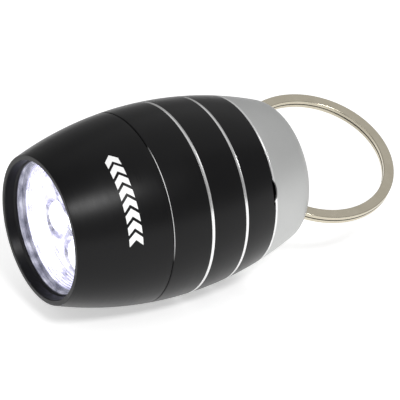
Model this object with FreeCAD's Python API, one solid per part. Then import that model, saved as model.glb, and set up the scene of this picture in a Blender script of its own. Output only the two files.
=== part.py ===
import FreeCAD, Part
import math
import os
from FreeCAD import Placement, Rotation, Vector

# Keychain flashlight: a turned aluminium barrel with a screw-on head, a pressed-in tail and a split ring.
# The model is turned in its own lathe frame first. Local Z is the barrel's axis and its value is the
# station, the distance back from the front rim. settle() lays the finished piece down: the barrel rests
# on its belly on z = 0, its lens looks along -Y, and the origin is under the middle of the whole length.

# ---------------------------------------------------------------- driving dimensions, in millimetres
BARREL_R = 16.0          # widest outside radius
BULGE_STATION = 21.3     # where the barrel is widest
SIDE_ARC_R = 61.5        # the long side curve
BARREL_LEN = 44.9        # front rim to the tail's flat end
SHOULDER_R = 3.5         # rounding between the side curve and the flat end
SEAM_STATION = 15.3      # head against body
SEAM_GAP = 0.12
TAIL_STATION = 35.3      # black body against the silver tail
STRIPE_STATIONS = (22.4, 29.1)
STRIPE_W = 0.42
STRIPE_DEPTH = 0.12

RIM_INNER_R = 11.45      # front rim's inside edge
LENS_OPEN_R = 10.86      # visible radius of the lens
LENS_STATION = 2.05
LENS_R = 11.42
LENS_T = 1.2
HEAD_BORE_R = 11.5
CLIP_GROOVE_R = 11.95

THREAD_PITCH = 1.0
THREAD_START = 9.9
THREAD_TURNS = 3.0
NECK_FRONT = 9.6
NECK_ROOT_R = 12.10
NECK_CREST_R = 12.50
NUT_CREST_R = 12.22
NUT_ROOT_R = 12.62
TOOTH_BASE_W = 0.52
TOOTH_CREST_W = 0.22

LED_R = 2.5              # 5 mm LEDs: one in the middle and five around it
LED_FLANGE_R = 2.9
LED_COUNT_AROUND = 5
LED_PITCH_R = 6.25
LED_TIP = 5.6
LED_BASE = 12.9
LEAD_R = 0.24
LEAD_SPACING = 2.54

MODULE_FLANGE_R = 11.2   # the LED module slides in the head and in the neck
MODULE_BARREL_R = 10.2
REFLECTOR_FRONT = 4.1
REFLECTOR_STEP = 7.9
BOWL_LIP_R = 10.74
BOWL_LIP_FRONT = 3.4
BOWL_FLOOR = 6.4         # bottom of the reflector's bowl, where the LED cups start
BOWL_FLOOR_R = 9.7
CUP_MOUTH_R = 3.4
BOARD_FRONT = 12.95
BOARD_T = 1.2
BOARD_R = 9.6
MODULE_REAR = 15.2
KEY_W = 2.0              # two keys stop the module turning in the neck
BODY_BORE_R = 10.55

CELL_R = 10.0            # two coin cells, 20 mm across and 3.2 mm thick
CELL_T = 3.2
CELL_STATIONS = (17.5, 20.75)

BULKHEAD_FRONT = 27.8
BULKHEAD_REAR = 29.6
TAIL_BORE_R = 12.0       # socket in the body for the tail's neck
TAIL_NECK_FRONT = 30.1
TAIL_HOLLOW_R = 9.5
END_WALL = 40.8

RING_STATION = 53.0      # middle of the split ring, on the barrel's axis
RING_OUTER_R = 13.9
RING_INNER_R = 12.1
RING_T = 1.52
COIL_GAP = 0.08
RING_TURN_DEG = 26.5     # how far the ring's plane is turned about the barrel from lying level
JOG_DEG = 24.0           # where the wire steps from the upper coil to the lower
JOG_AT_DEG = 90.0        # its place round the ring: inside the tail at rest
SLOT_W = 1.94
SLOT_R = 14.25
PIN_R = 1.0
PIN_HALF_LEN = 8.0
NOTCH_W = 3.8
NOTCH_DEPTH = 0.5
NOTCH_AT_DEG = -15.0

OVERALL_LEN = RING_STATION + RING_OUTER_R
EXACT = 0.0001
AXIS = Vector(0, 0, 1)
ORIGIN = Vector(0, 0, 0)


# ------------------------------------------------------------------------------------- shared tools
def side_radius(station):
    """Outside radius of the barrel's long curve at a station."""
    across = station - BULGE_STATION
    return BARREL_R - SIDE_ARC_R + math.sqrt(SIDE_ARC_R ** 2 - across ** 2)


def side_arc(start, end):
    """Outline step: from the point already reached, along the barrel's curve to another station."""
    middle = (start + end) / 2
    return ((side_radius(middle), middle), (side_radius(end), end))


def outline(*steps):
    """Closed wire from (radius, station) points; a pair of points is an arc through the first."""
    edges = []
    start = Vector(steps[0][0], 0, steps[0][1])
    here = start
    for step in steps[1:]:
        if isinstance(step[0], tuple):
            through = Vector(step[0][0], 0, step[0][1])
            there = Vector(step[1][0], 0, step[1][1])
            edges.append(Part.Arc(here, through, there).toShape())
        else:
            there = Vector(step[0], 0, step[1])
            edges.append(Part.makeLine(here, there))
        here = there
    edges.append(Part.makeLine(here, start))
    return Part.Wire(edges)


def turned(*steps):
    """Solid of revolution about the barrel's axis."""
    return Part.Face(outline(*steps)).revolve(ORIGIN, AXIS, 360)


def tube(inner, outer, front, rear):
    return turned((inner, front), (outer, front), (outer, rear), (inner, rear))


def disc(radius, front, rear, x=0.0, y=0.0):
    return Part.makeCylinder(radius, rear - front, Vector(x, y, front), AXIS)


def torus(radius, wire_r, station):
    return Part.makeTorus(radius, wire_r, Vector(0, 0, station), AXIS)


def around(radius, degrees):
    return Vector(radius * math.cos(math.radians(degrees)), radius * math.sin(math.radians(degrees)), 0)


def helical_tooth(root_r, crest_r, station):
    """One screw tooth swept along a right-hand helix; it starts sunk a little into its wall."""
    depth = crest_r - root_r
    sink = math.copysign(0.08, depth)
    slope = (TOOTH_BASE_W - TOOTH_CREST_W) / abs(depth)
    base = (TOOTH_BASE_W + slope * abs(sink)) / 2
    crest = TOOTH_CREST_W / 2
    start = station - THREAD_PITCH / 2
    corners = [
        Vector(root_r - sink, 0, start - base),
        Vector(crest_r, 0, start - crest),
        Vector(crest_r, 0, start + crest),
        Vector(root_r - sink, 0, start + base),
    ]
    profile = Part.makePolygon(corners + corners[:1])
    path = Part.makeHelix(THREAD_PITCH, THREAD_PITCH * THREAD_TURNS, root_r)
    path.translate(Vector(0, 0, start))
    return Part.Wire(path.Edges).makePipeShell([profile], True, True)


def spring(front, rear, front_r, rear_r, wire_r, turns):
    """Open conical spring between two stations."""
    steps = 16 * turns
    points = []
    for step in range(int(steps) + 1):
        part = step / steps
        radius = front_r + (rear_r - front_r) * part
        station = front + wire_r + (rear - front - 2 * wire_r) * part
        points.append(around(radius, 360 * turns * part) + Vector(0, 0, station))
    curve = Part.BSplineCurve()
    curve.interpolate(points)
    path = Part.Wire([curve.toShape()])
    first, last = curve.FirstParameter, curve.LastParameter
    section = Part.Wire([Part.makeCircle(wire_r, curve.value(first), curve.tangent(first)[0])])
    return path.makePipeShell([section], True, True)


def settle(shape):
    """Lay the lathe frame down into the part's own frame."""
    done = shape.copy()
    done.Placement = Placement(
        Vector(0, -OVERALL_LEN / 2, BARREL_R), Rotation(Vector(1, 0, 0), -90)
    ).multiply(done.Placement)
    return done


# ---------------------------------------------------------------------------------------------- head
def head_shell():
    rear = SEAM_STATION - SEAM_GAP / 2
    chamfer = 0.1
    shell = turned(
        (RIM_INNER_R, 0), (side_radius(0) - chamfer, 0), (side_radius(chamfer), chamfer),
        side_arc(chamfer, rear - chamfer), (side_radius(rear) - chamfer, rear),
        (NUT_ROOT_R + 0.3, rear), (NUT_ROOT_R, rear - 0.3), (NUT_ROOT_R, NECK_FRONT - 0.3),
        (HEAD_BORE_R, NECK_FRONT - 0.3), (HEAD_BORE_R, 9.05), (CLIP_GROOVE_R, 9.05),
        (CLIP_GROOVE_R, 8.25), (HEAD_BORE_R, 8.25), (HEAD_BORE_R, LENS_STATION),
        (LENS_OPEN_R, LENS_STATION), (LENS_OPEN_R, LENS_STATION - 0.35),
        (LENS_OPEN_R + 0.22, LENS_STATION - 0.6), (RIM_INNER_R - 0.1, 0.12),
    )
    tooth = helical_tooth(NUT_ROOT_R, NUT_CREST_R, THREAD_START + THREAD_PITCH / 2)
    return shell.fuse(tooth)


def lens():
    rear = LENS_STATION + LENS_T
    edge = 0.12
    return turned(
        (0, LENS_STATION + 0.02), (LENS_R - edge, LENS_STATION + 0.02), (LENS_R, LENS_STATION + edge),
        (LENS_R, rear - edge), (LENS_R - edge, rear), (0, rear),
    )


def lens_gasket():
    return torus(LENS_R - 0.36, 0.25, LENS_STATION + LENS_T + 0.28)


def module_clip():
    """Snap ring behind the module's flange, with a gap so that it can be squeezed into its groove."""
    ring = tube(10.55, CLIP_GROOVE_R - 0.05, 8.3, 9.0)
    gap = Part.makeBox(4.0, 3.0, 2.0, Vector(9.5, -1.5, 7.8))
    return ring.cut(gap)


# --------------------------------------------------------------------------------------- LED module
def led_places():
    places = [Vector(0, 0, 0)]
    for index in range(LED_COUNT_AROUND):
        places.append(around(LED_PITCH_R, index * 360 / LED_COUNT_AROUND - 90))
    return places


def lead_places():
    """Two leads for each LED; those of the outer ring stand on its pitch circle's tangent."""
    places = []
    for place in led_places():
        across = Vector(1, 0, 0)
        if place.Length > EXACT:
            across = AXIS.cross(place).normalize()
        for side in (-1, 1):
            places.append(place + across * (side * LEAD_SPACING / 2))
    return places


def reflector():
    """Mirrored bowl with one cup for each LED in its floor."""
    body = turned(
        (0, BOWL_FLOOR), (BOWL_FLOOR_R, BOWL_FLOOR), (BOWL_LIP_R - 0.12, BOWL_LIP_FRONT),
        (BOWL_LIP_R, BOWL_LIP_FRONT), (BOWL_LIP_R, REFLECTOR_FRONT),
        (MODULE_FLANGE_R, REFLECTOR_FRONT), (MODULE_FLANGE_R, REFLECTOR_STEP),
        (MODULE_BARREL_R - 0.3, REFLECTOR_STEP), (MODULE_BARREL_R - 0.3, 10.2), (0, 10.2),
    )
    for place in led_places():
        cup = turned(
            (0, BOWL_FLOOR - 0.3), (CUP_MOUTH_R, BOWL_FLOOR - 0.3), (CUP_MOUTH_R, BOWL_FLOOR),
            ((CUP_MOUTH_R - 0.3, 7.2), (LED_R + 0.14, 8.6)), (LED_R + 0.14, 10.3), (0, 10.3),
        )
        cup.translate(place)
        body = body.cut(cup)
    return body


def led(place):
    half_way = LED_R * math.sqrt(0.5)
    dome = turned(
        (0, LED_TIP), ((half_way, LED_TIP + LED_R - half_way), (LED_R, LED_TIP + LED_R)),
        (LED_R, LED_BASE - 1.0), (LED_FLANGE_R, LED_BASE - 1.0), (LED_FLANGE_R, LED_BASE), (0, LED_BASE),
    )
    flat = Part.makeBox(1.0, 6.0, 1.2, Vector(LED_R + 0.05, -3.0, LED_BASE - 1.1))
    shape = dome.cut(flat)
    shape.translate(place)
    return shape


def led_leads():
    wires = [disc(LEAD_R, LED_BASE, 14.9, place.x, place.y) for place in lead_places()]
    return Part.makeCompound(wires)


def solder_joints():
    rear = BOARD_FRONT + BOARD_T
    joint = turned(
        (LEAD_R + 0.02, rear), (0.62, rear), ((0.38, rear + 0.2), (LEAD_R + 0.06, rear + 0.55)),
        (LEAD_R + 0.02, rear + 0.55),
    )
    joints = []
    for place in lead_places():
        copy = joint.copy()
        copy.translate(place)
        joints.append(copy)
    return Part.makeCompound(joints)


def led_board():
    board = disc(BOARD_R, BOARD_FRONT, BOARD_FRONT + BOARD_T)
    for place in lead_places():
        board = board.cut(disc(LEAD_R + 0.04, BOARD_FRONT - 1, BOARD_FRONT + BOARD_T + 1, place.x, place.y))
    return board


def resistors():
    """Three ballast chips between the outer LEDs' joints."""
    rear = BOARD_FRONT + BOARD_T
    chips = []
    for index in range(3):
        chip = Part.makeBox(2.0, 1.25, 0.5, Vector(-1.0, -0.62, rear))
        chip.rotate(ORIGIN, AXIS, 18 + 90 + index * 144)
        chip.translate(around(LED_PITCH_R, 18 + index * 144))
        chips.append(chip)
    return Part.makeCompound(chips)


def contact_pad():
    rear = BOARD_FRONT + BOARD_T
    return tube(2.5, 4.1, rear, rear + 0.2)


def contact_spring():
    return spring(BOARD_FRONT + BOARD_T + 0.2, CELL_STATIONS[0] - 0.05, 3.3, 1.5, 0.24, 4)


def led_holder():
    holder = turned(
        (9.2, 10.25), (MODULE_BARREL_R, 10.25), (MODULE_BARREL_R, MODULE_REAR),
        (BOARD_R + 0.04, MODULE_REAR), (BOARD_R + 0.04, BOARD_FRONT - 0.02), (9.2, BOARD_FRONT - 0.02),
    )
    for side in (0, 180):
        key = Part.makeBox(0.9, KEY_W, 3.0, Vector(MODULE_BARREL_R - 0.15, -KEY_W / 2, MODULE_REAR - 3.2))
        key.rotate(ORIGIN, AXIS, side)
        holder = holder.fuse(key)
    return holder.removeSplitter()


def module_contact():
    return tube(8.7, MODULE_BARREL_R - 0.05, MODULE_REAR, MODULE_REAR + 0.4)


# ---------------------------------------------------------------------------------------------- body
def body_sleeve():
    front = SEAM_STATION + SEAM_GAP / 2
    chamfer = 0.1
    rear_edge = 0.3
    first, second = STRIPE_STATIONS
    half = STRIPE_W / 2
    groove_floor = [side_radius(station) - STRIPE_DEPTH for station in STRIPE_STATIONS]
    sleeve = turned(
        (BODY_BORE_R, NECK_FRONT), (NECK_ROOT_R - 0.3, NECK_FRONT), (NECK_ROOT_R, NECK_FRONT + 0.3),
        (NECK_ROOT_R, 13.9), (11.45, 13.9), (11.45, 15.0), (NECK_ROOT_R + 0.3, 15.0),
        (NECK_ROOT_R + 0.3, front), (side_radius(front) - chamfer, front),
        (side_radius(front + chamfer), front + chamfer), side_arc(front + chamfer, first - half),
        (groove_floor[0], first - half * 0.6), (groove_floor[0], first + half * 0.6),
        (side_radius(first + half), first + half), side_arc(first + half, second - half),
        (groove_floor[1], second - half * 0.6), (groove_floor[1], second + half * 0.6),
        (side_radius(second + half), second + half), side_arc(second + half, TAIL_STATION - rear_edge),
        (side_radius(TAIL_STATION) - rear_edge, TAIL_STATION), (TAIL_BORE_R, TAIL_STATION),
        (TAIL_BORE_R, BULKHEAD_REAR), (0, BULKHEAD_REAR), (0, BULKHEAD_FRONT),
        (BODY_BORE_R, BULKHEAD_FRONT),
    )
    tooth = helical_tooth(NECK_ROOT_R, NECK_CREST_R, THREAD_START + THREAD_PITCH)
    sleeve = sleeve.fuse(tooth)
    for side in (0, 180):
        keyway = Part.makeBox(1.6, KEY_W + 0.5, 6.0, Vector(9.65, -KEY_W / 2 - 0.25, NECK_FRONT - 0.2))
        keyway.rotate(ORIGIN, AXIS, side)
        sleeve = sleeve.cut(keyway)
    return sleeve


def body_oring():
    return torus(12.02, 0.52, 14.45)


def body_contact():
    return tube(8.6, BODY_BORE_R - 0.05, MODULE_REAR + 0.46, MODULE_REAR + 1.0)


def battery_sleeve():
    return tube(CELL_R + 0.07, BODY_BORE_R - 0.08, MODULE_REAR + 1.05, BULKHEAD_FRONT - 0.4)


# ----------------------------------------------------------------------------------------- coin cells
def cell_can(front):
    return turned(
        (0, front), (CELL_R - 0.3, front), ((CELL_R - 0.09, front + 0.09), (CELL_R, front + 0.3)),
        (CELL_R, front + 2.75), (CELL_R - 0.35, front + 2.98), (CELL_R - 0.55, front + 2.9),
        (CELL_R - 0.28, front + 2.6), (CELL_R - 0.28, front + 0.28), (0, front + 0.28),
    )


def cell_seal(front):
    return tube(8.98, CELL_R - 0.58, front + 0.32, front + 2.86)


def cell_cap(front):
    return turned(
        (0, front + 0.34), (8.92, front + 0.34), (8.92, front + CELL_T - 0.35),
        ((8.8, front + CELL_T - 0.12), (8.5, front + CELL_T)), (0, front + CELL_T),
    )


def tail_spring():
    return spring(CELL_STATIONS[1] + CELL_T + 0.03, BULKHEAD_FRONT - 0.34, 2.4, 6.0, 0.35, 4)


def tail_plate():
    return disc(8.0, BULKHEAD_FRONT - 0.32, BULKHEAD_FRONT - 0.02)


# ---------------------------------------------------------------------------------------------- tail
def ring_frame(shape):
    """Turn a shape drawn with the ring level about the barrel, to the ring's own plane."""
    shape.rotate(ORIGIN, AXIS, RING_TURN_DEG)
    return shape


def ring_slot():
    """The slot that a thin disc cutter leaves when it is sunk into the tail along the axis."""
    middle = Vector(0, -SLOT_W / 2, RING_STATION)
    return ring_frame(Part.makeCylinder(SLOT_R, SLOT_W, middle, Vector(0, 1, 0)))


def pin_station():
    return RING_STATION - RING_INNER_R + 0.15 + PIN_R


def notch_bite():
    """Round cutter for the small notch in the tail's front edge."""
    bite_r = (NOTCH_W ** 2 / 4 + NOTCH_DEPTH ** 2) / (2 * NOTCH_DEPTH)
    middle = Vector(TAIL_BORE_R + 0.27, 0, TAIL_STATION + 0.04 + NOTCH_DEPTH - bite_r)
    bite = Part.makeCylinder(bite_r, 6, middle, Vector(1, 0, 0))
    bite.rotate(ORIGIN, AXIS, NOTCH_AT_DEG)
    return bite


def tail_cap():
    front = TAIL_STATION + 0.04
    round_station = BARREL_LEN - SHOULDER_R
    centre_off = BARREL_R - SIDE_ARC_R
    reach = SIDE_ARC_R - SHOULDER_R
    across = round_station - BULGE_STATION
    flat_r = centre_off + math.sqrt(reach ** 2 - across ** 2)
    tangent_station = BULGE_STATION + SIDE_ARC_R * across / reach
    middle_deg = (math.degrees(math.asin(across / reach)) + 90) / 2
    round_mid = around(SHOULDER_R, middle_deg)
    chamfer = 0.3
    neck_r = TAIL_BORE_R - 0.03
    cap = turned(
        (TAIL_HOLLOW_R, TAIL_NECK_FRONT), (neck_r - 0.3, TAIL_NECK_FRONT), (neck_r, TAIL_NECK_FRONT + 0.3),
        (neck_r, 32.2), (neck_r - 0.65, 32.2), (neck_r - 0.65, 33.3), (neck_r, 33.3), (neck_r, front),
        (side_radius(front) - chamfer, front), (side_radius(front + chamfer), front + chamfer),
        side_arc(front + chamfer, tangent_station),
        ((flat_r + round_mid.x, round_station + round_mid.y), (flat_r, BARREL_LEN)), (0, BARREL_LEN),
        (0, END_WALL), (TAIL_HOLLOW_R, END_WALL),
    )
    cap = cap.cut(ring_slot())
    half = PIN_HALF_LEN + 0.05
    seat_r = PIN_R + 0.02
    seat = Part.makeCylinder(seat_r, 2 * half, Vector(0, -half, pin_station()), Vector(0, 1, 0))
    lead_in = Part.makeBox(2 * seat_r, 2 * half, pin_station() - END_WALL + 0.1,
                           Vector(-seat_r, -half, END_WALL - 0.1))
    cap = cap.cut(ring_frame(seat.fuse(lead_in)))
    return cap.cut(notch_bite())


def tail_oring():
    return torus(TAIL_BORE_R - 0.36, 0.3, 32.75)


def ring_carrier():
    """Plastic plug that backs the pin; the ring's wire runs in its curved groove."""
    plug = turned(
        (2.5, 31.0), (TAIL_HOLLOW_R - 0.4, 31.0), (TAIL_HOLLOW_R - 0.08, 31.4),
        (TAIL_HOLLOW_R - 0.08, END_WALL - 0.05), (0, END_WALL - 0.05), (0, 36.0), (2.5, 36.0),
    )
    return plug.cut(ring_slot())


def ring_pin():
    half = PIN_HALF_LEN
    edge = 0.2
    pin = Part.makeCylinder(PIN_R, 2 * half, Vector(0, -half, pin_station()), Vector(0, 1, 0))
    ends = [item for item in pin.Edges if abs(item.BoundBox.YLength) < EXACT]
    return ring_frame(pin.makeChamfer(edge, ends))


# ---------------------------------------------------------------------------------------- split ring
def coil_section(degrees, height):
    """Flat wire section at a place round the ring; the ring is drawn level, with its hole along Z."""
    half_t = (RING_T - COIL_GAP) / 4
    corners = [
        around(RING_INNER_R, degrees) + Vector(0, 0, height - half_t),
        around(RING_OUTER_R, degrees) + Vector(0, 0, height - half_t),
        around(RING_OUTER_R, degrees) + Vector(0, 0, height + half_t),
        around(RING_INNER_R, degrees) + Vector(0, 0, height + half_t),
    ]
    return Part.makePolygon(corners + corners[:1])


def split_ring():
    """Two flat coils of one wire, joined where the wire steps down through the jog."""
    level = (RING_T + COIL_GAP) / 4
    start = JOG_AT_DEG + JOG_DEG / 2
    sweep = 360 - JOG_DEG
    coils = []
    for height in (level, -level):
        face = Part.Face(coil_section(start, height))
        coils.append(face.revolve(ORIGIN, AXIS, sweep))
    pieces = 12
    sections = []
    for index in range(pieces + 1):
        part = index / pieces
        ease = (1 - math.cos(math.pi * part)) / 2
        degrees = JOG_AT_DEG - JOG_DEG / 2 + JOG_DEG * part
        sections.append(coil_section(degrees, level - 2 * level * ease))
    jog = Part.makeLoft(sections, True, True)
    wire = coils[0].fuse(jog).fuse(coils[1])
    wire.rotate(ORIGIN, Vector(1, 0, 0), -90)
    wire.translate(Vector(0, 0, RING_STATION))
    return ring_frame(wire)


# ------------------------------------------------------------------------------------------- write out
def all_parts():
    parts = {
        "head_shell": head_shell(), "lens": lens(), "lens_gasket": lens_gasket(),
        "module_clip": module_clip(), "reflector": reflector(), "led_leads": led_leads(),
        "solder_joints": solder_joints(), "led_board": led_board(), "resistors": resistors(),
        "contact_pad": contact_pad(), "contact_spring": contact_spring(), "led_holder": led_holder(),
        "module_contact": module_contact(), "body_sleeve": body_sleeve(), "body_oring": body_oring(),
        "body_contact": body_contact(), "battery_sleeve": battery_sleeve(),
        "tail_spring": tail_spring(), "tail_plate": tail_plate(), "tail_cap": tail_cap(),
        "tail_oring": tail_oring(), "ring_carrier": ring_carrier(), "ring_pin": ring_pin(),
        "split_ring": split_ring(),
    }
    for index, place in enumerate(led_places(), start=1):
        parts["led_%d" % index] = led(place)
    for index, station in enumerate(CELL_STATIONS, start=1):
        parts["cell_%d_can" % index] = cell_can(station)
        parts["cell_%d_seal" % index] = cell_seal(station)
        parts["cell_%d_cap" % index] = cell_cap(station)
    return parts


os.makedirs("parts", exist_ok=True)
for name, shape in all_parts().items():
    settle(shape).exportStep("parts/%s.step" % name)
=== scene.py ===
import math

import bmesh
import bpy
from mathutils import Matrix, Vector


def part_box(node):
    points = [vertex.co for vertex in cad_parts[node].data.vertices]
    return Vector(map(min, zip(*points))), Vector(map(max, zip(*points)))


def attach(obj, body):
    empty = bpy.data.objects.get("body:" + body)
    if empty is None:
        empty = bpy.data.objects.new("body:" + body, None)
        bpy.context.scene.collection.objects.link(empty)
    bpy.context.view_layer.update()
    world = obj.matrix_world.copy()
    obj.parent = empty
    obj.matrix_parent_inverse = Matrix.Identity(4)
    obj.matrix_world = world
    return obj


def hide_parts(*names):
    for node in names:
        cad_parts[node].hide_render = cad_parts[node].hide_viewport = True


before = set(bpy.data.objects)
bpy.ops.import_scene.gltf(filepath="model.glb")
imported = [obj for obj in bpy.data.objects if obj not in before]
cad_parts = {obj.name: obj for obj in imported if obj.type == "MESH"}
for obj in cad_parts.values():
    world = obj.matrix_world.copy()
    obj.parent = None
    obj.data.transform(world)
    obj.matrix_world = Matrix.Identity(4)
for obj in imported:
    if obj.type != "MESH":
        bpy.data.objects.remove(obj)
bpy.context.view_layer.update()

MM = 0.001
FRONT_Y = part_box("head_shell")[0][1]
AXIS_Z = (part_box("tail_cap")[0][2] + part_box("tail_cap")[1][2]) / 2

BARREL_R, BULGE_STATION, SIDE_ARC_R = 16.0, 21.3, 61.5
BARREL_LEN, SHOULDER_R = 44.9, 3.5
SEAM, SEAM_GAP = 15.3, 0.12
TAIL = 35.3
STRIPES, STRIPE_W, STRIPE_DEPTH = (22.4, 29.1), 0.50, 0.12
RIM_R, LENS_OPEN_R, LENS_STATION, LENS_R, LENS_T = 11.45, 10.86, 2.05, 11.42, 1.2
HEAD_BORE_R, CLIP_GROOVE_R = 11.5, 11.95
NECK_FRONT, NECK_R, NUT_R, THREAD_DEPTH = 9.6, 12.10, 12.62, 0.4
THREAD_PITCH, THREAD_START, THREAD_TURNS = 1.0, 9.9, 3.0
BODY_BORE_R, BULKHEAD = 10.55, (27.8, 29.6)
TAIL_BORE_R, TAIL_NECK_FRONT, TAIL_HOLLOW_R, END_WALL = 12.0, 30.1, 9.5, 40.8
LED_PITCH_R, LED_TIP, LED_BASE, LED_R, LED_FLANGE_R = 6.25, 5.6, 12.9, 2.5, 2.9
REFLECTOR_R, REFLECTOR_FRONT, REFLECTOR_STEP, REFLECTOR_REAR = 11.2, 4.1, 7.9, 10.2
BOWL_LIP_R, BOWL_LIP_FRONT, BOWL_FLOOR, BOWL_FLOOR_R, CUP_MOUTH_R = 10.74, 3.4, 6.4, 9.7, 3.4
RING_STATION, RING_OUTER_R, RING_INNER_R, RING_T, COIL_GAP = 53.0, 13.9, 12.1, 1.52, 0.08
RING_TURN, JOG_DEG, JOG_AT_DEG = 26.5, 24.0, 90.0
SLOT_R, SLOT_W, PIN_R, PIN_HALF_LEN = 14.25, 1.94, 1.0, 8.0
NOTCH_W, NOTCH_DEPTH, NOTCH_AT_DEG, NOTCH_INTO_BODY = 3.8, 0.5, 15.0, 0.35
BODY_EDGE, TAIL_EDGE, TAIL_SEAM = 0.06, 0.3, 0.04
SEGMENTS = 192
SHARP_DEG = 32.0


# ------------------------------------------------------------------------------------------ mesh tools
def place(radius, station, degrees):
    """Point at a radius, station and angle; the angle runs from +X up towards +Z."""
    turn = math.radians(degrees)
    across, up = radius * math.cos(turn), radius * math.sin(turn)
    return Vector((across * MM, FRONT_Y + station * MM, AXIS_Z + up * MM))


def side_radius(station):
    across = station - BULGE_STATION
    return BARREL_R - SIDE_ARC_R + math.sqrt(SIDE_ARC_R ** 2 - across ** 2)


def side(start, end, steps=14):
    """Outline points along the barrel's long curve."""
    stations = [start + (end - start) * index / steps for index in range(steps + 1)]
    return [(side_radius(station), station) for station in stations]


def rounded(points, fillet, steps=4):
    """The same closed outline with every real corner rounded."""
    out = []
    count = len(points)
    for index, corner in enumerate(points):
        here = Vector(corner)
        before = Vector(points[index - 1]) - here
        after = Vector(points[(index + 1) % count]) - here
        on_axis = abs(corner[0]) < 1e-6
        if before.length < 1e-6 or after.length < 1e-6:
            continue
        bend = math.pi - before.angle(after)
        if on_axis or bend < math.radians(12):
            out.append(tuple(here))
            continue
        cut = min(fillet * math.tan(bend / 2), before.length * 0.45, after.length * 0.45)
        first, last = here + before.normalized() * cut, here + after.normalized() * cut
        for step in range(steps + 1):
            part = step / steps
            out.append(tuple(first.lerp(here, part).lerp(here.lerp(last, part), part)))
    return out


def finished(name, mesh_data, body, slot_name, *nodes):
    """Turn a bmesh into a piece: smooth faces, sharp edges marked, riding on its body."""
    bmesh.ops.remove_doubles(mesh_data, verts=mesh_data.verts, dist=1e-8)
    bmesh.ops.recalc_face_normals(mesh_data, faces=mesh_data.faces)
    mesh = bpy.data.meshes.new(name)
    mesh_data.to_mesh(mesh)
    mesh_data.free()
    piece = bpy.data.objects.new(name, mesh)
    bpy.context.collection.objects.link(piece)
    shade(mesh)
    if body:
        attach(piece, body)
    if nodes:
        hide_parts(*nodes)
    return piece


def shade(mesh):
    shaped = bmesh.new()
    shaped.from_mesh(mesh)
    limit = math.radians(SHARP_DEG)
    for face in shaped.faces:
        face.smooth = True
    for edge in shaped.edges:
        edge.smooth = len(edge.link_faces) == 2 and edge.calc_face_angle(0) < limit
    shaped.to_mesh(mesh)
    shaped.free()


def turned(outline, segments=SEGMENTS, centre=None):
    """bmesh of a closed outline turned about the barrel's axis, or about a parallel line."""
    shaped = bmesh.new()
    shift = Vector((0, 0, 0)) if centre is None else Vector((centre[0] * MM, 0, centre[1] * MM))
    rings = []
    for radius, station in outline:
        if radius < 1e-6:
            rings.append([shaped.verts.new(place(0, station, 0) + shift)] * segments)
        else:
            rings.append([
                shaped.verts.new(place(radius, station, 360 * index / segments) + shift)
                for index in range(segments)
            ])
    for ring, following in zip(rings, rings[1:] + rings[:1]):
        for index in range(segments):
            after = (index + 1) % segments
            corners = [ring[index], ring[after], following[after], following[index]]
            corners = [vert for number, vert in enumerate(corners) if vert not in corners[:number]]
            if len(corners) > 2:
                shaped.faces.new(corners)
    return shaped


def carve(piece, cutters, operation="DIFFERENCE"):
    """Cut (or join) helper pieces into a piece for good, and throw the helpers away."""
    for cutter in cutters:
        step = piece.modifiers.new("carve", "BOOLEAN")
        step.object = cutter
        step.operation = operation
        step.solver = "EXACT"
    seen = piece.evaluated_get(bpy.context.evaluated_depsgraph_get())
    mesh = bpy.data.meshes.new_from_object(seen)
    piece.modifiers.clear()
    old = piece.data
    mesh.name = old.name + "_cut"
    piece.data = mesh
    bpy.data.meshes.remove(old)
    for cutter in cutters:
        bpy.data.objects.remove(cutter)
    shade(piece.data)
    return piece


def helper_box(low, high, degrees=0.0):
    """Box between two (across, station, up) corners in millimetres, turned about the barrel."""
    shaped = bmesh.new()
    bmesh.ops.create_cube(shaped, size=1)
    size = [b - a for a, b in zip(low, high)]
    middle = [(a + b) / 2 for a, b in zip(low, high)]
    for vert in shaped.verts:
        vert.co = Vector([(vert.co[axis] * size[axis] + middle[axis]) * MM for axis in range(3)])
    bmesh.ops.rotate(shaped, verts=shaped.verts, matrix=Matrix.Rotation(-math.radians(degrees), 3, "Y"))
    bmesh.ops.translate(shaped, verts=shaped.verts, vec=(0, FRONT_Y, AXIS_Z))
    return finished("helper", shaped, None, None)


def helper_disc(radius, thickness, station, degrees, segments=256):
    """Flat round cutter whose plane holds the barrel's axis, turned about the barrel."""
    shaped = bmesh.new()
    bmesh.ops.create_cone(
        shaped, cap_ends=True, segments=segments,
        radius1=radius * MM, radius2=radius * MM, depth=thickness * MM,
    )
    bmesh.ops.rotate(shaped, verts=shaped.verts, matrix=Matrix.Rotation(-math.radians(degrees), 3, "Y"))
    bmesh.ops.translate(shaped, verts=shaped.verts, vec=(0, FRONT_Y + station * MM, AXIS_Z))
    return finished("helper", shaped, None, None)


def screw_tooth(shaped, root_r, crest_r, station, per_turn=96):
    """Add a helical tooth that fades in and out at its ends; it is sunk a little into its wall."""
    sink = math.copysign(0.06, crest_r - root_r)
    count = int(per_turn * THREAD_TURNS)
    rows = []
    for index in range(count + 1):
        turn = 360 * index / per_turn
        middle = station + THREAD_PITCH * turn / 360
        fade = min(1.0, index / 12, (count - index) / 12)
        crest = root_r + (crest_r - root_r) * fade
        rows.append([
            shaped.verts.new(place(radius, middle + across, -turn))
            for radius, across in (
                (root_r - sink, -0.30), (crest, -0.11), (crest, 0.11), (root_r - sink, 0.30),
            )
        ])
    for row, following in zip(rows, rows[1:]):
        for corner in range(4):
            after = (corner + 1) % 4
            shaped.faces.new([row[corner], row[after], following[after], following[corner]])
    shaped.faces.new(rows[0])
    shaped.faces.new(rows[-1])


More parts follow.
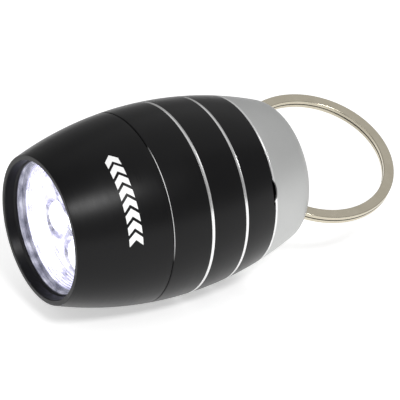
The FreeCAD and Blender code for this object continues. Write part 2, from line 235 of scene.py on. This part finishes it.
# ------------------------------------------------------------------------------------- material tools
class Recipe:
    """A Principled material and short names for the nodes that feed it."""

    def __init__(self, name, **fixed):
        self.material = bpy.data.materials.new(name)
        self.material.use_nodes = True
        self.tree = self.material.node_tree
        self.shader = self.tree.nodes["Principled BSDF"]
        for socket, value in fixed.items():
            self.shader.inputs[socket.replace("_", " ")].default_value = value
        self.spot = self.add("ShaderNodeTexCoord").outputs["Object"]

    def add(self, kind, **options):
        node = self.tree.nodes.new(kind)
        for option, value in options.items():
            setattr(node, option, value)
        return node

    def feed(self, target, value):
        if isinstance(value, bpy.types.NodeSocket):
            self.tree.links.new(value, target)
        else:
            target.default_value = value

    def stretched(self, scale):
        node = self.add("ShaderNodeMapping")
        self.feed(node.inputs["Vector"], self.spot)
        node.inputs["Scale"].default_value = scale
        return node.outputs["Vector"]

    def noise(self, scale, detail=3.0, roughness=0.55):
        """Grey noise; scale is per metre for each axis."""
        node = self.add("ShaderNodeTexNoise")
        node.inputs["Scale"].default_value = 1.0
        node.inputs["Detail"].default_value = detail
        node.inputs["Roughness"].default_value = roughness
        self.feed(node.inputs["Vector"], self.stretched(scale))
        return node.outputs["Fac"]

    def spread(self, value, low, high, to_low, to_high):
        node = self.add("ShaderNodeMapRange")
        for socket, number in zip(("From Min", "From Max", "To Min", "To Max"), (low, high, to_low, to_high)):
            node.inputs[socket].default_value = number
        self.feed(node.inputs["Value"], value)
        return node.outputs["Result"]

    def maths(self, operation, first, second=0.0):
        node = self.add("ShaderNodeMath", operation=operation)
        self.feed(node.inputs[0], first)
        self.feed(node.inputs[1], second)
        return node.outputs[0]

    def axis(self, letter):
        node = self.add("ShaderNodeSeparateXYZ")
        self.feed(node.inputs[0], self.spot)
        return node.outputs[letter]

    def blend(self, share, first, second):
        node = self.add("ShaderNodeMix", data_type="RGBA")
        self.feed(node.inputs[0], share)
        self.feed(node.inputs[6], first)
        self.feed(node.inputs[7], second)
        return node.outputs[2]

    def radius(self):
        """Distance from the barrel's axis."""
        up = self.maths("SUBTRACT", self.axis("Z"), AXIS_Z)
        across = self.axis("X")
        squares = self.maths("ADD", self.maths("MULTIPLY", up, up), self.maths("MULTIPLY", across, across))
        return self.maths("SQRT", squares)

    def near(self, station, half):
        """1 within half a width of a station, 0 outside."""
        off = self.maths("ABSOLUTE", self.maths("SUBTRACT", self.axis("Y"), FRONT_Y + station * MM))
        return self.maths("LESS_THAN", off, half * MM)

    def bump(self, height, strength, distance):
        node = self.add("ShaderNodeBump")
        node.inputs["Strength"].default_value = strength
        node.inputs["Distance"].default_value = distance
        self.feed(node.inputs["Height"], height)
        self.feed(self.shader.inputs["Normal"], node.outputs["Normal"])

    def set(self, socket, value):
        self.feed(self.shader.inputs[socket], value)
        return self


def grey(value, alpha=1.0):
    return (value, value, value, alpha)


def black_anodised():
    """Satin black skin over turned aluminium, with fine turning lines and dust specks; bare metal chips on
    the front rim (wear) and a bare metal line at the seam, both shown only on the upper side facing the
    camera and key light as a painted highlight.
    """
    look = Recipe("black_anodised", Specular_IOR_Level=0.20)
    lines = look.noise((250, 9000, 250), 2.0)
    cloud = look.noise((160, 160, 160), 4.0)
    dust = look.noise((5200, 5200, 5200), 1.0)
    specks = look.spread(dust, 0.74, 0.78, 0.0, 0.5)
    skin = look.blend(cloud, (0.0028, 0.0028, 0.0033, 1), (0.0050, 0.0049, 0.0053, 1))
    skin = look.blend(specks, skin, grey(0.02))
    patch = look.spread(look.noise((110, 110, 110), 1.0), 0.52, 0.62, 0, 1)
    chips = look.spread(look.noise((2100, 2100, 2100), 5.0), 0.50, 0.58, 0, 1)
    # Upper side facing the camera and key light: bare metal shows only here, as a painted highlight.
    outer_side = look.spread(look.axis("X"), 7.5 * MM, 9.5 * MM, 0, 1)
    above = look.spread(look.axis("Z"), AXIS_Z - 3 * MM, AXIS_Z, 0, 1)
    painted_lit_side = look.maths("MULTIPLY", outer_side, above)
    # Front rim chips are wear; the seam line is bare metal. Keeping both to the lit side paints a highlight.
    rim_wear_on_lit_side = look.maths("MULTIPLY", look.near(0.0, 0.05), look.maths("MULTIPLY", patch, chips))
    rim_wear_on_lit_side = look.maths("MULTIPLY", rim_wear_on_lit_side, painted_lit_side)
    seam = look.maths("MULTIPLY", look.near(SEAM + SEAM_GAP / 2 + 0.03, 0.055), painted_lit_side)
    bare = look.maths("MAXIMUM", rim_wear_on_lit_side, seam)
    look.set("Base Color", look.blend(bare, skin, grey(0.62)))
    look.set("Metallic", bare)
    mixed = look.maths("ADD", look.maths("MULTIPLY", lines, 0.6), look.maths("MULTIPLY", cloud, 0.4))
    look.set("Roughness", look.spread(mixed, 0.3, 0.7, 0.27, 0.38))
    look.bump(lines, 0.25, 0.000012)
    return look.material


def silver_blasted():
    """Bead-blasted, clear anodised aluminium, with a bright polished front chamfer and near-black painted
    shade on the notch floor and on the front face inside 13.9 mm.
    """
    look = Recipe("silver_blasted", Metallic=0.55)
    grain = look.noise((5200, 5200, 5200), 3.0, 0.7)
    cloud = look.noise((140, 140, 140), 3.0)
    skin = look.blend(cloud, (0.49, 0.495, 0.49, 1), (0.55, 0.555, 0.55, 1))
    edge = look.near(TAIL + TAIL_SEAM + TAIL_EDGE / 2, TAIL_EDGE / 2 + 0.01)
    # Painted shade: near black in the notch recess and on the front face next to the body.
    painted_notch_shade = look.maths(
        "MULTIPLY", look.near(TAIL + 0.3, 0.4), look.maths("LESS_THAN", look.radius(), 13.9 * MM),
    )
    look.set("Base Color", look.blend(painted_notch_shade, look.blend(edge, skin, grey(0.95)), grey(0.006)))
    look.set("Roughness", look.blend(edge, look.spread(grain, 0.3, 0.7, 0.44, 0.58), grey(0.14)))
    look.bump(grain, 0.35, 0.00003)
    return look.material


def cut_aluminium():
    """Diamond-cut groove: bare and bright, with the cutter's fine lines."""
    look = Recipe("cut_aluminium", Metallic=1.0)
    lines = look.noise((300, 24000, 300), 1.0)
    look.set("Base Color", look.blend(lines, grey(0.78), grey(0.92)))
    look.set("Roughness", look.spread(lines, 0.3, 0.7, 0.16, 0.3))
    look.bump(lines, 0.3, 0.00001)
    return look.material


def ring_nickel():
    """Nickel-plated spring wire: warm grey, faint drawing lines and patches of rub wear, with painted shade
    as a dark line along the gap between the two coils.
    """
    look = Recipe("ring_nickel", Metallic=1.0)
    rub = look.noise((420, 420, 420), 5.0, 0.65)
    fine = look.noise((3500, 3500, 3500), 2.0)
    tilt = math.radians(RING_TURN)
    above = look.maths("MULTIPLY", look.maths("SUBTRACT", look.axis("Z"), AXIS_Z), math.cos(tilt))
    height = look.maths("ADD", look.maths("MULTIPLY", look.axis("X"), math.sin(tilt)), above)
    # Painted shade: a dark band along the mid-plane, where the two coils meet.
    groove = look.maths("LESS_THAN", look.maths("ABSOLUTE", height), 0.11 * MM)
    plate = look.blend(rub, (0.50, 0.455, 0.355, 1), (0.66, 0.61, 0.50, 1))
    look.set("Base Color", look.blend(groove, plate, (0.05, 0.045, 0.035, 1)))
    mixed = look.maths("ADD", look.maths("MULTIPLY", rub, 0.7), look.maths("MULTIPLY", fine, 0.3))
    look.set("Roughness", look.spread(mixed, 0.35, 0.65, 0.14, 0.27))
    look.bump(fine, 0.12, 0.00001)
    return look.material


def steel(name, tone, low, high, scale):
    look = Recipe(name, Metallic=1.0)
    grain = look.noise(scale, 3.0)
    look.set("Base Color", look.blend(grain, tuple(0.82 * part for part in tone) + (1,), tuple(tone) + (1,)))
    look.set("Roughness", look.spread(grain, 0.3, 0.7, low, high))
    look.bump(grain, 0.2, 0.00001)
    return look.material


def moulded(name, tone, low, high):
    """Moulded plastic or rubber with a fine spark-eroded texture."""
    look = Recipe(name)
    grain = look.noise((3800, 3800, 3800), 3.0, 0.6)
    cloud = look.noise((260, 260, 260), 2.0)
    look.set("Base Color", look.blend(cloud, tuple(0.8 * part for part in tone) + (1,), tuple(tone) + (1,)))
    look.set("Roughness", look.spread(grain, 0.3, 0.7, low, high))
    look.bump(grain, 0.3, 0.00002)
    return look.material


def clear_acrylic():
    """Polished window: clear in the middle; near the edge it is made nearly opaque and given a painted glow
    in fine circles, standing in for light piped through the moulded rim.
    """
    look = Recipe("clear_acrylic", Base_Color=(0.10, 0.11, 0.14, 1), Specular_IOR_Level=0.6)
    swirl = look.noise((90, 90, 2600), 2.0)
    look.set("Roughness", look.spread(swirl, 0.4, 0.7, 0.02, 0.07))
    rim = look.spread(look.radius(), 9.9 * MM, 10.5 * MM, 0.0, 1.0)
    circles = look.maths("SINE", look.maths("MULTIPLY", look.radius(), 26000.0))
    cloud = look.noise((420, 420, 420), 3.0)
    # Painted glow: emission in fine circles on the rim, standing in for LED light.
    painted_rim_glow = look.maths(
        "MULTIPLY", look.spread(circles, -1, 1, 0.25, 1.0), look.spread(cloud, 0.35, 0.65, 0.2, 1.0),
    )
    facing = look.add("ShaderNodeLayerWeight")
    facing.inputs["Blend"].default_value = 0.35
    clear = look.spread(facing.outputs["Facing"], 0.0, 1.0, 0.05, 0.25)
    look.set("Alpha", look.maths("MAXIMUM", clear, look.maths("MULTIPLY", rim, 0.85)))
    look.set("Emission Color", look.blend(cloud, (0.62, 0.60, 0.92, 1), (0.95, 0.95, 1.0, 1)))
    look.set("Emission Strength", look.maths("MULTIPLY", rim, painted_rim_glow))
    return look.material


def mirror_plastic():
    """Vacuum-metallised reflector, metal tinted violet in patches, with a painted violet-white glow in noise
    patches standing in for the LEDs' light on it.
    """
    look = Recipe("mirror_plastic", Metallic=1.0)
    lines = look.noise((260, 5200, 260), 3.0)
    patches = look.noise((330, 500, 330), 3.0, 0.65)
    look.set("Base Color", look.blend(patches, (0.66, 0.65, 0.78, 1), (0.92, 0.92, 0.97, 1)))
    look.set("Roughness", look.spread(patches, 0.3, 0.7, 0.04, 0.20))
    # Painted glow: emission over the whole reflector, varied by noise, standing in for LED light.
    painted_led_glow = look.maths(
        "MULTIPLY", look.spread(patches, 0.36, 0.56, 0.30, 1.0), look.spread(lines, 0.35, 0.6, 0.45, 1.0),
    )
    look.set("Emission Color", look.blend(patches, (0.55, 0.52, 0.85, 1), (0.92, 0.92, 1.0, 1)))
    look.set("Emission Strength", painted_led_glow)
    look.bump(lines, 0.3, 0.00004)
    return look.material


def lit_epoxy():
    """Water-clear LED body, flooded with cool white light."""
    look = Recipe("lit_epoxy", Base_Color=(0.9, 0.93, 1.0, 1))
    haze = look.noise((900, 900, 900), 3.0)
    look.set("Roughness", look.spread(haze, 0.3, 0.7, 0.05, 0.12))
    look.set("Emission Color", look.blend(haze, (0.86, 0.88, 1.0, 1), (1.0, 1.0, 1.0, 1)))
    depth = look.spread(look.axis("Y"), FRONT_Y + LED_TIP * MM, FRONT_Y + (LED_TIP + 4) * MM, 3.2, 1.0)
    look.set("Emission Strength", look.maths("MULTIPLY", depth, look.spread(haze, 0.2, 0.8, 0.85, 1.1)))
    return look.material


def white_ink():
    look = Recipe("white_ink", Specular_IOR_Level=0.4)
    grain = look.noise((4200, 4200, 4200), 3.0)
    look.set("Base Color", look.blend(grain, grey(0.90), grey(0.98)))
    look.set("Roughness", look.spread(grain, 0.3, 0.7, 0.35, 0.5))
    look.bump(grain, 0.2, 0.00001)
    return look.material


def board_mask():
    """White solder mask over copper, with faint glass-cloth weave."""
    look = Recipe("board_mask")
    weave = look.maths("MULTIPLY", look.noise((7000, 900, 900), 1.0), look.noise((900, 900, 7000), 1.0))
    look.set("Base Color", look.blend(weave, (0.66, 0.68, 0.62, 1), (0.86, 0.87, 0.83, 1)))
    look.set("Roughness", look.spread(weave, 0.1, 0.4, 0.3, 0.5))
    look.bump(weave, 0.25, 0.00002)
    return look.material


# ---------------------------------------------------------------------------------------------- pieces
def head_piece():
    rear = SEAM - SEAM_GAP / 2
    outline = rounded([
        (RIM_R, 0), (side_radius(0) - 0.06, 0), *side(0.06, rear - 0.08), (side_radius(rear) - 0.08, rear),
        (NUT_R + 0.3, rear), (NUT_R, rear - 0.3), (NUT_R, NECK_FRONT - 0.3), (HEAD_BORE_R, NECK_FRONT - 0.3),
        (HEAD_BORE_R, 9.05), (CLIP_GROOVE_R, 9.05), (CLIP_GROOVE_R, 8.25), (HEAD_BORE_R, 8.25),
        (HEAD_BORE_R, LENS_STATION), (LENS_OPEN_R, LENS_STATION), (LENS_OPEN_R, LENS_STATION - 0.35),
        (LENS_OPEN_R + 0.22, LENS_STATION - 0.6), (RIM_R - 0.1, 0.12),
    ], 0.06)
    shaped = turned(outline)
    screw_tooth(shaped, NUT_R, NUT_R - THREAD_DEPTH, THREAD_START)
    return finished("head_turned", shaped, "head", "black_anodised", "head_shell")


def body_piece():
    front = SEAM + SEAM_GAP / 2
    first, second = STRIPES
    half, floor = STRIPE_W / 2, STRIPE_W * 0.3
    outline = rounded([
        (BODY_BORE_R, NECK_FRONT), (NECK_R - 0.3, NECK_FRONT), (NECK_R, NECK_FRONT + 0.3), (NECK_R, 13.9),
        (11.45, 13.9), (11.45, 15.0), (NECK_R + 0.3, 15.0), (NECK_R + 0.3, front),
        (side_radius(front) - 0.1, front), *side(front + 0.1, first - half),
        (side_radius(first) - STRIPE_DEPTH, first - floor),
        (side_radius(first) - STRIPE_DEPTH, first + floor),
        *side(first + half, second - half),
        (side_radius(second) - STRIPE_DEPTH, second - floor),
        (side_radius(second) - STRIPE_DEPTH, second + floor),
        *side(second + half, TAIL - BODY_EDGE), (side_radius(TAIL) - BODY_EDGE, TAIL), (TAIL_BORE_R, TAIL),
        (TAIL_BORE_R, BULKHEAD[1]), (0, BULKHEAD[1]), (0, BULKHEAD[0]), (BODY_BORE_R, BULKHEAD[0]),
    ], 0.05)
    shaped = turned(outline)
    screw_tooth(shaped, NECK_R, NECK_R + THREAD_DEPTH, THREAD_START + THREAD_PITCH / 2)
    piece = finished("body_turned", shaped, "body", "black_anodised", "body_sleeve")
    keyways = [
        helper_box((9.65, NECK_FRONT - 0.2, -1.25), (11.25, NECK_FRONT + 5.8, 1.25), turn)
        for turn in (0, 180)
    ]
    return carve(piece, [*keyways, notch_bite()])


def stripe_piece(index, station):
    """The bright skin of one cut groove, a hair proud of the black body's groove."""
    half, floor, lift = STRIPE_W / 2, STRIPE_W * 0.3, 0.012
    outline = [
        (side_radius(station - half) - 0.002, station - half),
        (side_radius(station) - STRIPE_DEPTH + lift, station - floor),
        (side_radius(station) - STRIPE_DEPTH + lift, station + floor),
        (side_radius(station + half) - 0.002, station + half),
        (side_radius(station) - STRIPE_DEPTH - 0.05, station),
    ]
    return finished("cut_stripe_%d" % index, turned(outline, 256), "body", "silver_aluminium")


def notch_bite():
    """Round cutter for the small thumb notch between the black body and the tail."""
    bite_r = (NOTCH_W ** 2 / 4 + NOTCH_DEPTH ** 2) / (2 * NOTCH_DEPTH)
    middle = TAIL + TAIL_SEAM + NOTCH_DEPTH - bite_r
    low = TAIL - NOTCH_INTO_BODY
    half = math.acos((low - middle) / bite_r)
    shaped = bmesh.new()
    layers = []
    for radius in (TAIL_BORE_R + 0.27, BARREL_R + 1.0):
        layers.append([
            shaped.verts.new((
                radius * MM, (middle + bite_r * math.cos(turn)) * MM, bite_r * math.sin(turn) * MM,
            ))
            for turn in (half * (2 * step / 40 - 1) for step in range(41))
        ])
    inner, outer = layers
    count = len(inner)
    for index in range(count):
        after = (index + 1) % count
        shaped.faces.new([inner[index], inner[after], outer[after], outer[index]])
    shaped.faces.new(inner)
    shaped.faces.new(outer)
    bmesh.ops.rotate(shaped, verts=shaped.verts, matrix=Matrix.Rotation(-math.radians(NOTCH_AT_DEG), 3, "Y"))
    bmesh.ops.translate(shaped, verts=shaped.verts, vec=(0, FRONT_Y, AXIS_Z))
    return finished("helper", shaped, None, None)


def tail_piece():
    front = TAIL + TAIL_SEAM
    round_station = BARREL_LEN - SHOULDER_R
    reach = SIDE_ARC_R - SHOULDER_R
    start = math.asin((round_station - BULGE_STATION) / reach)
    round_r = BARREL_R - SIDE_ARC_R + reach * math.cos(start)
    tangent_station = BULGE_STATION + SIDE_ARC_R * math.sin(start)
    neck_r = TAIL_BORE_R - 0.03
    edge = TAIL_EDGE
    turns = [start + (math.pi / 2 - start) * step / 14 for step in range(1, 15)]
    bend = [
        (round_r + SHOULDER_R * math.cos(turn), round_station + SHOULDER_R * math.sin(turn)) for turn in turns
    ]
    outline = rounded([
        (TAIL_HOLLOW_R, TAIL_NECK_FRONT), (neck_r - 0.3, TAIL_NECK_FRONT), (neck_r, TAIL_NECK_FRONT + 0.3),
        (neck_r, 32.2), (neck_r - 0.65, 32.2), (neck_r - 0.65, 33.3), (neck_r, 33.3), (neck_r, front),
        (side_radius(front) - edge, front), *side(front + edge, tangent_station, 8), *bend,
        (0, BARREL_LEN), (0, END_WALL), (TAIL_HOLLOW_R, END_WALL),
    ], 0.04)
    piece = finished("tail_turned", turned(outline), "body", "silver_aluminium", "tail_cap")
    pin_station = RING_STATION - RING_INNER_R + 0.15 + PIN_R
    cutters = [
        helper_disc(SLOT_R, SLOT_W, RING_STATION, -RING_TURN),
        helper_box(
            (-PIN_R - 0.02, END_WALL - 0.1, -PIN_HALF_LEN - 0.05),
            (PIN_R + 0.02, pin_station, PIN_HALF_LEN + 0.05), -RING_TURN,
        ),
        notch_bite(),
    ]
    return carve(piece, cutters)


def lens_piece():
    front, rear = LENS_STATION + 0.02, LENS_STATION + LENS_T
    outline = rounded([(0, front), (LENS_R, front), (LENS_R, rear), (0, rear)], 0.15)
    return finished("lens_polished", turned(outline), "head", "clear_acrylic", "lens")


def led_places():
    spots = [(0.0, 0.0)]
    for index in range(5):
        turn = math.radians(-90 - 72 * index)
        spots.append((LED_PITCH_R * math.cos(turn), LED_PITCH_R * math.sin(turn)))
    return spots


def reflector_piece():
    """Metallised bowl: fine steps down its wall and one flared cup for each LED in its floor."""
    front, lip = BOWL_LIP_FRONT, BOWL_LIP_R - 0.12
    wall = []
    steps = 7
    for step in range(steps):
        part, further = step / steps, (step + 0.8) / steps
        wall.append((BOWL_FLOOR_R + (lip - BOWL_FLOOR_R) * part, BOWL_FLOOR + (front - BOWL_FLOOR) * part))
        wall_r = BOWL_FLOOR_R + (lip - BOWL_FLOOR_R) * (part + 0.03)
        wall.append((wall_r, BOWL_FLOOR + (front - BOWL_FLOOR) * further))
    outline = rounded([
        (0, BOWL_FLOOR), *wall, (lip, front), (BOWL_LIP_R, front), (BOWL_LIP_R, REFLECTOR_FRONT),
        (REFLECTOR_R, REFLECTOR_FRONT), (REFLECTOR_R, REFLECTOR_STEP),
        (9.9, REFLECTOR_STEP), (9.9, REFLECTOR_REAR), (0, REFLECTOR_REAR),
    ], 0.04)
    piece = finished("reflector_mirror", turned(outline), "module", "mirror_plastic", "reflector")
    cutters = []
    narrow = LED_R + 0.14
    for spot in led_places():
        flare = []
        for step in range(9):
            part = step / 8
            flare.append((narrow + (CUP_MOUTH_R - narrow) * (1 - part) ** 1.7, BOWL_FLOOR + 2.2 * part))
        mouth = (CUP_MOUTH_R + 0.05, BOWL_FLOOR - 0.3)
        cup = [(0, BOWL_FLOOR - 0.3), mouth, *flare, (narrow, 10.4), (0, 10.4)]
        cutters.append(finished("helper", turned(cup, 96, spot), None, None))
    return carve(piece, cutters)


def led_piece(index, spot):
    dome = [
        (LED_R * math.sin(math.radians(turn)), LED_TIP + LED_R * (1 - math.cos(math.radians(turn))))
        for turn in range(0, 91, 9)
    ]
    outline = dome + rounded([
        (LED_R, LED_BASE - 1.0), (LED_FLANGE_R, LED_BASE - 1.0), (LED_FLANGE_R, LED_BASE), (0, LED_BASE),
    ], 0.0)
    return finished("led_lamp_%d" % index, turned(outline, 64, spot), "module", "led_epoxy", "led_%d" % index)


def twist_mark():
    """Plain row of chevrons printed round the head, which points the way the head screws on."""
    shaped = bmesh.new()
    front, rear = 7.95, 10.15
    start, end, count = 4.5, 62.5, 8
    pitch = (end - start) / count
    lift = 0.015
    for index in range(count):
        low = start + pitch * index
        thick = pitch * 0.68
        slant = pitch * 0.55
        rows = 12
        lines = []
        for row in range(rows + 1):
            part = row / rows
            station = front + (rear - front) * part
            lean = slant * (1 - abs(2 * part - 1))
            radius = side_radius(station) + lift
            lines.append([
                shaped.verts.new(place(radius, station, low + lean + thick * step / 4)) for step in range(5)
            ])
        for line, following in zip(lines, lines[1:]):
            for step in range(4):
                shaped.faces.new([line[step], line[step + 1], following[step + 1], following[step]])
    return finished("twist_mark", shaped, "head", "black_anodised")


def split_ring_piece():
    """Two flat coils of one wire with rounded edges, stepped down through a jog, ends cut square."""
    shaped = bmesh.new()
    level = (RING_T + COIL_GAP) / 4
    half_t = (RING_T - COIL_GAP) / 4
    half_w = (RING_OUTER_R - RING_INNER_R) / 2
    middle_r = (RING_OUTER_R + RING_INNER_R) / 2
    section = []
    for corner_x, corner_y, begin in ((1, 1, 0), (-1, 1, 90), (-1, -1, 180), (1, -1, 270)):
        for turn in range(0, 91, 15):
            spin = math.radians(begin + turn)
            soft = 0.16
            section.append((
                middle_r + corner_x * (half_w - soft) + soft * math.cos(spin),
                corner_y * (half_t - soft) + soft * math.sin(spin),
            ))
    total = 720 - JOG_DEG
    steps = 460
    rows = []
    for index in range(steps + 1):
        angle = JOG_AT_DEG + JOG_DEG / 2 + total * index / steps
        passed = total * index / steps
        start_jog, end_jog = 360 - JOG_DEG, 360
        if passed <= start_jog:
            height = level
        elif passed >= end_jog:
            height = -level
        else:
            height = level * math.cos(math.pi * (passed - start_jog) / JOG_DEG)
        turn = math.radians(angle)
        row = []
        for radius, up in section:
            local = Vector((radius * math.cos(turn), -radius * math.sin(turn), height + up)) * MM
            local.rotate(Matrix.Rotation(math.radians(RING_TURN), 3, "Y"))
            row.append(shaped.verts.new(local + Vector((0, FRONT_Y + RING_STATION * MM, AXIS_Z))))
        rows.append(row)
    count = len(section)
    for row, following in zip(rows, rows[1:]):
        for corner in range(count):
            after = (corner + 1) % count
            shaped.faces.new([row[corner], row[after], following[after], following[corner]])
    shaped.faces.new(rows[0])
    shaped.faces.new(rows[-1])
    return finished("split_ring_wire", shaped, "ring", "ring_nickel", "split_ring")


def build():
    paint(head_piece(), black)
    paint(body_piece(), black)
    for index, station in enumerate(STRIPES, start=1):
        paint(stripe_piece(index, station), cut_aluminium())
    paint(tail_piece(), silver_blasted())
    paint(lens_piece(), clear_acrylic())
    paint(reflector_piece(), mirror_plastic())
    lit = lit_epoxy()
    for index, spot in enumerate(led_places(), start=1):
        paint(led_piece(index, spot), lit)
    paint(twist_mark(), white_ink())
    paint(split_ring_piece(), ring_nickel())


def paint(piece, material):
    piece.data.materials.clear()
    piece.data.materials.append(material)


def paint_nodes(material, *nodes):
    """Give CAD nodes that stay in view their finished material."""
    for node in nodes:
        for material_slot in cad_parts[node].material_slots:
            material_slot.material = material


def dress_inner_nodes():
    wire = steel("spring_steel", (0.66, 0.66, 0.67), 0.18, 0.34, (2500, 2500, 2500))
    brass = steel("brass_stamping", (0.80, 0.62, 0.30), 0.20, 0.36, (700, 4000, 700))
    cell = steel("cell_steel", (0.70, 0.70, 0.69), 0.22, 0.36, (300, 300, 4500))
    solder = steel("solder", (0.70, 0.71, 0.72), 0.25, 0.45, (1800, 1800, 1800))
    rubber = moulded("rubber", (0.02, 0.02, 0.021), 0.5, 0.7)
    plastic = moulded("black_plastic", (0.025, 0.025, 0.027), 0.38, 0.55)
    sleeve = moulded("insulator", (0.78, 0.78, 0.75), 0.4, 0.55)
    seal = moulded("cell_seal", (0.30, 0.30, 0.32), 0.4, 0.6)
    chip = moulded("chip_ceramic", (0.04, 0.04, 0.045), 0.3, 0.5)
    paint_nodes(wire, "module_clip", "contact_spring", "tail_spring", "ring_pin")
    paint_nodes(brass, "contact_pad", "module_contact", "body_contact", "tail_plate")
    paint_nodes(cell, "cell_1_can", "cell_2_can", "cell_1_cap", "cell_2_cap")
    paint_nodes(solder, "solder_joints", "led_leads")
    paint_nodes(rubber, "lens_gasket", "body_oring", "tail_oring")
    paint_nodes(plastic, "led_holder", "ring_carrier")
    paint_nodes(sleeve, "battery_sleeve")
    paint_nodes(seal, "cell_1_seal", "cell_2_seal")
    paint_nodes(chip, "resistors")
    paint_nodes(board_mask(), "led_board")


# ----------------------------------------------------------------------------------- floor and studio
def floor():
    shaped = bmesh.new()
    bmesh.ops.create_grid(shaped, x_segments=8, y_segments=8, size=3.0)
    piece = finished("floor", shaped, None, None)
    look = Recipe("floor_white", Specular_IOR_Level=0.1, Roughness=0.9)
    look.set("Base Color", look.blend(look.noise((9, 9, 9), 2.0), grey(0.93), grey(0.95)))
    look.set("Emission Color", grey(1.0))
    look.set("Emission Strength", 0.50)
    piece.data.materials.append(look.material)


def softbox(name, direction, distance, size, power, colour=(1, 1, 1)):
    """Area light on a line from the object's middle, facing it."""
    lamp = bpy.data.lights.new(name, "AREA")
    lamp.shape = "RECTANGLE"
    lamp.size, lamp.size_y = size
    lamp.energy = power
    lamp.color = colour
    holder = bpy.data.objects.new(name, lamp)
    bpy.context.collection.objects.link(holder)
    towards = Vector(direction).normalized()
    holder.location = Vector((0, 0, AXIS_Z)) + towards * distance
    holder.rotation_euler = towards.to_track_quat("Z", "Y").to_euler()


def studio():
    world = bpy.data.worlds.new("studio")
    world.use_nodes = True
    world.node_tree.nodes["Background"].inputs["Color"].default_value = (1.0, 1.0, 1.0, 1)
    world.node_tree.nodes["Background"].inputs["Strength"].default_value = 0.36
    bpy.context.scene.world = world
    softbox("key", (0.70, -0.16, 0.70), 0.6, (0.2, 0.1), 1.5)
    softbox("front", (0.22, -0.82, 0.48), 0.8, (0.5, 0.7), 1.3)
    softbox("over", (-0.20, 0.50, 0.84), 0.8, (0.9, 0.9), 0.8)
    view = bpy.context.scene.view_settings
    view.view_transform = "Standard"
    view.look = "None"


def camera():
    azimuth, elevation, roll = map(math.radians, (57.1, 25.5, 0.48))
    distance = 0.3613
    back = Vector((
        math.sin(azimuth) * math.cos(elevation),
        -math.cos(azimuth) * math.cos(elevation),
        math.sin(elevation),
    ))
    right = Vector((math.cos(azimuth), math.sin(azimuth), 0))
    target = Vector((0, FRONT_Y + 29.9 * MM, 13.5 * MM)) + right * 0.17 * MM + back.cross(right) * 0.29 * MM
    data = bpy.data.cameras.new("camera")
    data.lens, data.sensor_width = 198, 36
    data.clip_start, data.clip_end = 0.01, 20
    holder = bpy.data.objects.new("camera", data)
    bpy.context.collection.objects.link(holder)
    holder.location = target + back * distance
    facing = back.to_track_quat("Z", "Y").to_matrix()
    holder.rotation_euler = (Matrix.Rotation(roll, 3, back) @ facing).to_euler()
    bpy.context.scene.camera = holder


camera()
black = black_anodised()
build()
dress_inner_nodes()
floor()
studio()
